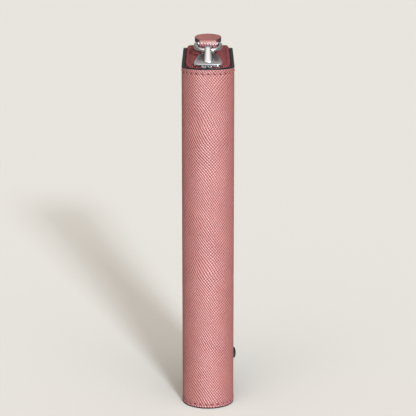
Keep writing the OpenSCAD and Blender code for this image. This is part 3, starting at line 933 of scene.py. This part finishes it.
def spread(s):
    # How far each row of teeth stands off the middle at a distance from the slider's mouth
    first = zipShape["openLength"]
    last = first + zipShape["closeLength"]
    if s < first:
        return zipShape["open"]
    if s > last:
        return 0.0
    return zipShape["open"] * (1 + math.cos(math.pi * (s - first) / zipShape["closeLength"])) / 2


def innerWidth(y):
    # Half the room between the walls at y
    r = spineR - case["wall"]
    if y < spineY:
        return math.sqrt(max(zipShape["leastRoom"], r * r - (spineY - y) ** 2))
    if y < tangentY:
        return r
    return r * math.cos(case["lean"]) - (y - tangentY) * math.tan(case["lean"])


def tapeRing(t, side):
    # Cross-section of one tape: bead, web, round shoulder and sewn leg
    spot, along, out = zipAt(t)
    shift = spread(t - zipShape["sliderRest"])
    width = innerWidth(min(spot.y, farY)) - zipShape["wallGap"]
    half = zipShape["tape"] / 2
    shoulder = min(zipShape["shoulder"], width * zipShape["shoulderShare"])
    inside = max(zipShape["insideBend"], shoulder - zipShape["tape"])
    bead = zipShape["bead"] / 2
    beadX = min(zipShape["beadIn"] + bead + shift, width - shoulder - zipShape["webLeast"])
    top = []
    bottom = []
    first, last = zipShape["beadArc"]
    for i in range(zipShape["beadSteps"] + 1):
        angle = math.radians(first + (last - first) * i / zipShape["beadSteps"])
        top.append((beadX + bead * math.cos(angle), bead * math.sin(angle)))
        bottom.append((beadX + bead * math.cos(angle), -bead * math.sin(angle)))
    start = beadX + bead
    stop = width - shoulder
    for i in range(1, zipShape["webSteps"] + 1):
        x = start + (stop - start) * i / zipShape["webSteps"]
        top.append((x, half))
        bottom.append((x, -half))
    for i in range(1, zipShape["shoulderSteps"] + 1):
        angle = math.pi / 2 * (1 - i / zipShape["shoulderSteps"])
        top.append((stop + shoulder * math.cos(angle), half - shoulder + shoulder * math.sin(angle)))
        bottom.append((stop + inside * math.cos(angle), half - shoulder + inside * math.sin(angle)))
    leg = half - zipShape["leg"]
    top.append((width, leg))
    bottom.append((width - zipShape["tape"], leg))
    return [spot + Vector((side * x, 0, 0)) + out * n for x, n in top + bottom[::-1]]


def makeTape(name, side):
    stations = list(zipShape["mouthRings"]) + spaced(zipShape["topStart"], zipTop, zipShape["topStep"])
    stations += spaced(zipTop, zipTop + zipArc, zipShape["bendStep"])[1:]
    stations += spaced(zipTop + zipArc, zipLength, zipShape["sideStep"])[1:]
    return loft(name, [tapeRing(t, side) for t in stations], tapeCloth)


for side, word in ((-1, "left"), (1, "right")):
    tape = makeTape("zipTape" + word.capitalize(), side)
    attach(tape, "case")
    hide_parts("zip_tape_" + word, "zip_bead_top_" + word, "zip_bead_side_" + word)

print("zip teeth")

teeth = {
    "pitch": 2.6,
    "first": 2.7,
    "length": 1.2,  # along the zip
    "height": 2.3,
    # Across from the zip's middle, and share of the half height
    "outline": ((-0.55, 0.5), (-0.1, 0.82), (0.35, 1), (1.2, 1), (2.3, 0.94), (3.0, 0.6)),
    "ease": 0.12,
    "endStop": 3.0,  # length of the bottom stop
    "endRoom": 3.0,  # between it and the last tooth
}


def makeTooth():
    # One tooth: x across from the middle, y along the zip, z out of the tape
    half = teeth["height"] / 2
    upper = [(x, half * share) for x, share in teeth["outline"]]
    lower = [(x, -z) for x, z in upper]
    outline = lower[:1] + upper + lower[:0:-1]
    shape = bmesh.new()
    rings = []
    for y in (-teeth["length"] / 2, teeth["length"] / 2):
        rings.append([shape.verts.new(Vector((x, y, z)) * mm) for x, z in outline])
    count = len(outline)
    shape.faces.new(rings[0])
    shape.faces.new(rings[1][::-1])
    for k in range(count):
        shape.faces.new((rings[0][k], rings[1][k], rings[1][(k + 1) % count], rings[0][(k + 1) % count]))
    bmesh.ops.recalc_face_normals(shape, faces=shape.faces)
    rims = [e for e in shape.edges if abs(e.verts[0].co.y - e.verts[1].co.y) < teeth["length"] * mm / 2]
    bmesh.ops.bevel(shape, geom=rims, offset=teeth["ease"] * mm, segments=2, profile=0.5, affect="EDGES")
    mesh = bpy.data.meshes.new("tooth")
    shape.to_mesh(mesh)
    shape.free()
    for polygon in mesh.polygons:
        polygon.use_smooth = True
    return makeObject("tooth", mesh)


def toothTree():
    tree, wires = newTree("toothRow", Tooth="NodeSocketObject", Finish="NodeSocketMaterial")
    single = wires["Tooth"].node("GeometryNodeObjectInfo", None, {"Object": wires["Tooth"]}, "Geometry")
    setOnPoints(wires, single)
    return tree


def makeTeeth(name, side, tooth):
    last = zipLength - teeth["endStop"] - teeth["endRoom"]
    places = []
    t = teeth["first"] + (0 if side > 0 else teeth["pitch"] / 2)
    while t <= last:
        spot, along, out = zipAt(t)
        across = Vector((side, 0, 0))
        shift = spread(t - zipShape["sliderRest"])
        places.append((spot + across * shift, turnOf(across, out.cross(across), out)))
        t += teeth["pitch"]
    return grown(pointPiece(name, places), toothTree(), Tooth=tooth, Finish=zipMetal)


tooth = makeTooth()
for side, word in ((-1, "left"), (1, "right")):
    row = makeTeeth("zipTeeth" + word.capitalize(), side, tooth)
    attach(row, "case")
    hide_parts("zip_teeth_top_" + word, "zip_teeth_side_" + word)
bpy.data.objects.remove(tooth)

print("slider, ring and stops")

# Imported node: piece, body, width and steps of its eased edges, finish and slot
metalParts = {
    "slider_body": ("sliderBody", "slider", 0.22, 3, plateMetal, "polished_metal"),
    "top_stop_left": ("topStopLeft", "case", 0.1, 2, zipMetal, "zip_metal"),
    "top_stop_right": ("topStopRight", "case", 0.1, 2, zipMetal, "zip_metal"),
    "bottom_stop": ("bottomStop", "case", 0.18, 3, zipMetal, "zip_metal"),
}
for node, (name, body, width, steps, material, slot) in metalParts.items():
    piece = roundedCopy(node, name, width, steps, material)
    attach(piece, body)
    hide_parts(node)

crown = {
    "width": 3.3,
    "reach": 9.0,  # of the eye from the slider's mouth
    "height": 5.5,  # of the eye above the middle of the tape
    "outer": 2.1,  # radius of the eye's outside
    "inner": 1.03,
    "foot": 1.4,
    "footHeight": 2.1,
    "flare": 0.5,  # how much wider it is to each side at its foot
    "flarePower": 1.5,
    "dome": 0.85,  # how much lower its sides are than its middle
    "domeShare": 0.97,  # 1 would bring its sides down upright
    "insideShare": 0.94,  # of its width, at the flat inside
    "root": 1.4,
    "least": 0.3,  # of its thickness along the tape, at its foot
    "domeSteps": 6,  # from the middle to a side
    "insideSteps": 3,
    "slopeSteps": 8,
    "eyeStep": 0.16,
    "legStep": 1.0,
}


def crownRing(outerPoint, innerPoint, outerWay, flare=0.0):
    # One cross-section: domed outside, flat inside
    half = crown["width"] / 2 + flare
    count, inside = crown["domeSteps"], crown["insideSteps"]
    ring = []
    for i in range(2 * count + 1):
        share = -1 + i / count
        drop = crown["dome"] * (1 - math.sqrt(1 - (share * crown["domeShare"]) ** 2))
        ring.append((share * half, outerPoint[0] - outerWay[0] * drop, outerPoint[1] - outerWay[1] * drop))
    for i in range(2 * inside + 1):
        share = crown["insideShare"] * (1 - i / inside)
        ring.append((share * half, innerPoint[0], innerPoint[1]))
    return ring


def roundEye(way, radius):
    # The place on the eye that lies that way from its middle
    return crown["reach"] + way[0] * radius, crown["height"] + way[1] * radius


def makeCrown():
    # Side view in (s, n): up the long front slope, round the eye and down the back leg
    run, rise = crown["reach"] - crown["foot"], crown["height"] - crown["footHeight"]
    slope = math.atan2(rise, run) + math.asin(crown["outer"] / math.hypot(run, rise))
    way = (-math.sin(slope), math.cos(slope))
    topOuter, topInner = roundEye(way, crown["outer"]), roundEye(way, crown["inner"])
    foot = (crown["foot"], crown["footHeight"])
    rings = []
    for i in range(crown["slopeSteps"] + 1):
        left = 1 - i / crown["slopeSteps"]
        back = ((topOuter[0] - foot[0]) * left, (topOuter[1] - foot[1]) * left)
        outerPoint = (topOuter[0] - back[0], topOuter[1] - back[1])
        innerPoint = (max(topInner[0] - back[0], foot[0] + crown["least"]),
                      max(topInner[1] - back[1], crown["root"]))
        rings.append(crownRing(outerPoint, innerPoint, way, crown["flare"] * left ** crown["flarePower"]))
    for angle in spaced(math.pi / 2 + slope, 0, crown["eyeStep"])[1:]:
        turn = (math.cos(angle), math.sin(angle))
        rings.append(crownRing(roundEye(turn, crown["outer"]), roundEye(turn, crown["inner"]), turn))
    legOuter, legInner = crown["reach"] + crown["outer"], crown["reach"] + crown["inner"]
    for n in spaced(crown["height"], crown["root"], crown["legStep"])[1:]:
        rings.append(crownRing((legOuter, n), (legInner, n), (1, 0)))
    spot, along, out = zipAt(zipShape["sliderRest"])
    placedRings = [[spot + Vector((x, 0, 0)) + along * s + out * n for x, s, n in ring] for ring in rings]
    return loft("sliderCrown", placedRings, polishedMetal)


crownPiece = makeCrown()
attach(crownPiece, "slider")
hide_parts("slider_crown")

ring = roundedCopy("pull_ring", "pullRing", 0.0, 1, polishedMetal)
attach(ring, "ring")
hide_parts("pull_ring")

print("leather pull")

pull = {
    "angle": math.radians(7.4),
    "ease": 0.2,
    "foldEnd": 3.0,  # behind the bar, where the two layers meet
}
# The pull's leather is the case's leather darkened by its shade tint: painted shade of the strap that lies back
# from the light
pullFinish = {"shadeTint": 0.72, "roughness": 0.42, "polish": 0.09, "depth": 0.15}
pullLeatherPaintedShade = makeLeather("pullLeatherPaintedShade", lambda wire: placed(wire, (-pull["angle"], 0, 0)), pullFinish)


def makePull():
    piece = roundedCopy("pull_strap", "pullStrap", pull["ease"], 3, pullLeatherPaintedShade, edgePaint)
    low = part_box("pull_strap")[0]
    flatOut = Vector((0, -math.sin(pull["angle"]), math.cos(pull["angle"])))
    for polygon in piece.data.polygons:
        polygon.use_smooth = True
        inFold = polygon.center.y < low.y + pull["foldEnd"] * mm
        sideways = abs(polygon.normal.x) > 0.5
        edgeOn = abs(polygon.normal.dot(flatOut)) < 0.5
        if sideways or (edgeOn and not inFold):
            polygon.material_index = 1
    return piece


strap = makePull()
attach(strap, "pull")
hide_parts("pull_strap")

print("stud")

stud = {
    "diameter": 6.1,
    "height": 1.6,
    # The step round its foot: in from its edge, and out of the wall
    "rim": ((0.12, -0.1), (0.02, 0.05), (0, 0.2), (0.03, 0.35), (0.22, 0.45)),
    "domeIn": 0.3,
    "domeOut": 0.43,
    "domeRings": 10,
    "steps": 40,
    "sink": 0.02,
}


def makeStud():
    # A low dome with a fine step round its foot, turned about its own middle and set on the front face
    low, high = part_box("front_stud")
    middle = (low + high) / 2 / mm
    point, out = wallAt(alongTo(middle.y), stud["sink"])
    centre = Vector((point.x, point.y, middle.z))
    forward = Vector((0, 0, 1))
    side = out.cross(forward)
    half = stud["diameter"] / 2
    profile = [(half - inset, lift) for inset, lift in stud["rim"]]
    for i in range(stud["domeRings"]):
        angle = math.pi / 2 * i / (stud["domeRings"] - 0.5)
        lift = stud["domeOut"] + (stud["height"] - stud["domeOut"]) * math.sin(angle)
        profile.append(((half - stud["domeIn"]) * math.cos(angle), lift))
    spokes = []
    for k in range(stud["steps"]):
        angle = math.tau * k / stud["steps"]
        spokes.append(forward * math.cos(angle) + side * math.sin(angle))
    rings = [[centre + out * lift + spoke * radius for spoke in spokes] for radius, lift in profile]
    return loft("frontStud", rings, blackEnamel)


frontStud = makeStud()
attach(frontStud, "case")
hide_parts("front_stud")

print("packed parts that stay")

finishes = {
    "lining": liningCloth, "base_lining": liningCloth, "front_board": boardFibre, "back_board": boardFibre,
    "spine_stiffener": boardFibre, "base_board": boardFibre, "base_panel": baseLeather,
    "pull_filler": edgePaint, "stud_washer": zipMetal,
}
for node, material in finishes.items():
    paintNode(node, material)

print("floor, light and camera")

studio = {
    "floor": (0.400, 0.388, 0.3615, 1),
    "floorSize": 12,  # half of it, in metres
    "floorRoughness": 0.9,
    "horizon": 0.24,  # brightness of the room
    "ceiling": 0.72,  # and how much more overhead
    "ceilingEnds": (0.1, 0.8),  # heights where it begins and is full
    "panel": 3.1,  # how much more in the middle of a wide soft panel above the camera
    "panelElevation": math.radians(50),
    "panelCore": math.radians(12),
    "panelEdge": math.radians(48),
    "roomColour": (0.9008, 0.8513, 0.8021, 1),
    "keyColour": (0.80, 0.90, 1.0),
    "key": 6.2,
    "keyAzimuths": (math.radians(13.4), math.radians(16.6)),  # right of the camera, the two ends of a wide lamp
    "keyElevation": math.radians(21),
    "keySize": math.radians(5),
    "cameraSpot": (0, -0.724, 0.253),  # metres
    "cameraPitch": math.radians(12.56),
    "lens": 137,
    "sensor": 36,
}


def makeFloor():
    shape = bmesh.new()
    bmesh.ops.create_grid(shape, x_segments=1, y_segments=1, size=studio["floorSize"])
    mesh = bpy.data.meshes.new("floor")
    shape.to_mesh(mesh)
    shape.free()
    material = newMaterial("paper", Roughness=studio["floorRoughness"], Base_Color=studio["floor"])[0]
    floor = makeObject("floor", mesh, material)


def makeRoom():
    world = bpy.data.worlds.new("room")
    world.use_nodes = True
    bpy.context.scene.world = world
    wire = Wire(world.node_tree)
    ray = wire.node("ShaderNodeTexCoord", output="Generated")
    panel = (0, -math.cos(studio["panelElevation"]), math.sin(studio["panelElevation"]))
    facing = ray.node("ShaderNodeVectorMath", {"operation": "DOT_PRODUCT"}, {0: ray, 1: panel}, "Value")
    ceiling = ray.parts()[2].step(*studio["ceilingEnds"]) * studio["ceiling"]
    glow = facing.step(math.cos(studio["panelEdge"]), math.cos(studio["panelCore"])) * studio["panel"]
    glow = glow + ceiling + studio["horizon"]
    back = world.node_tree.nodes["Background"]
    back.inputs["Color"].default_value = studio["roomColour"]
    world.node_tree.links.new(glow.socket, back.inputs["Strength"])


def makeKey(azimuth):
    light = bpy.data.lights.new("key", "SUN")
    light.energy = studio["key"] / len(studio["keyAzimuths"])
    light.angle = studio["keySize"]
    light.color = studio["keyColour"]
    lamp = bpy.data.objects.new("key", light)
    bpy.context.collection.objects.link(lamp)
    level = math.cos(studio["keyElevation"])
    towards = Vector((math.sin(azimuth) * level, -math.cos(azimuth) * level, math.sin(studio["keyElevation"])))
    lamp.rotation_euler = towards.to_track_quat("Z", "Y").to_euler()


def makeCamera():
    view = bpy.data.cameras.new("camera")
    view.lens = studio["lens"]
    view.sensor_width = studio["sensor"]
    camera = bpy.data.objects.new("camera", view)
    bpy.context.collection.objects.link(camera)
    camera.location = studio["cameraSpot"]
    camera.rotation_euler = (math.pi / 2 - studio["cameraPitch"], 0, 0)
    bpy.context.scene.camera = camera


makeFloor()
makeRoom()
for azimuth in studio["keyAzimuths"]:
    makeKey(azimuth)
makeCamera()
bpy.context.scene.view_settings.view_transform = "Standard"
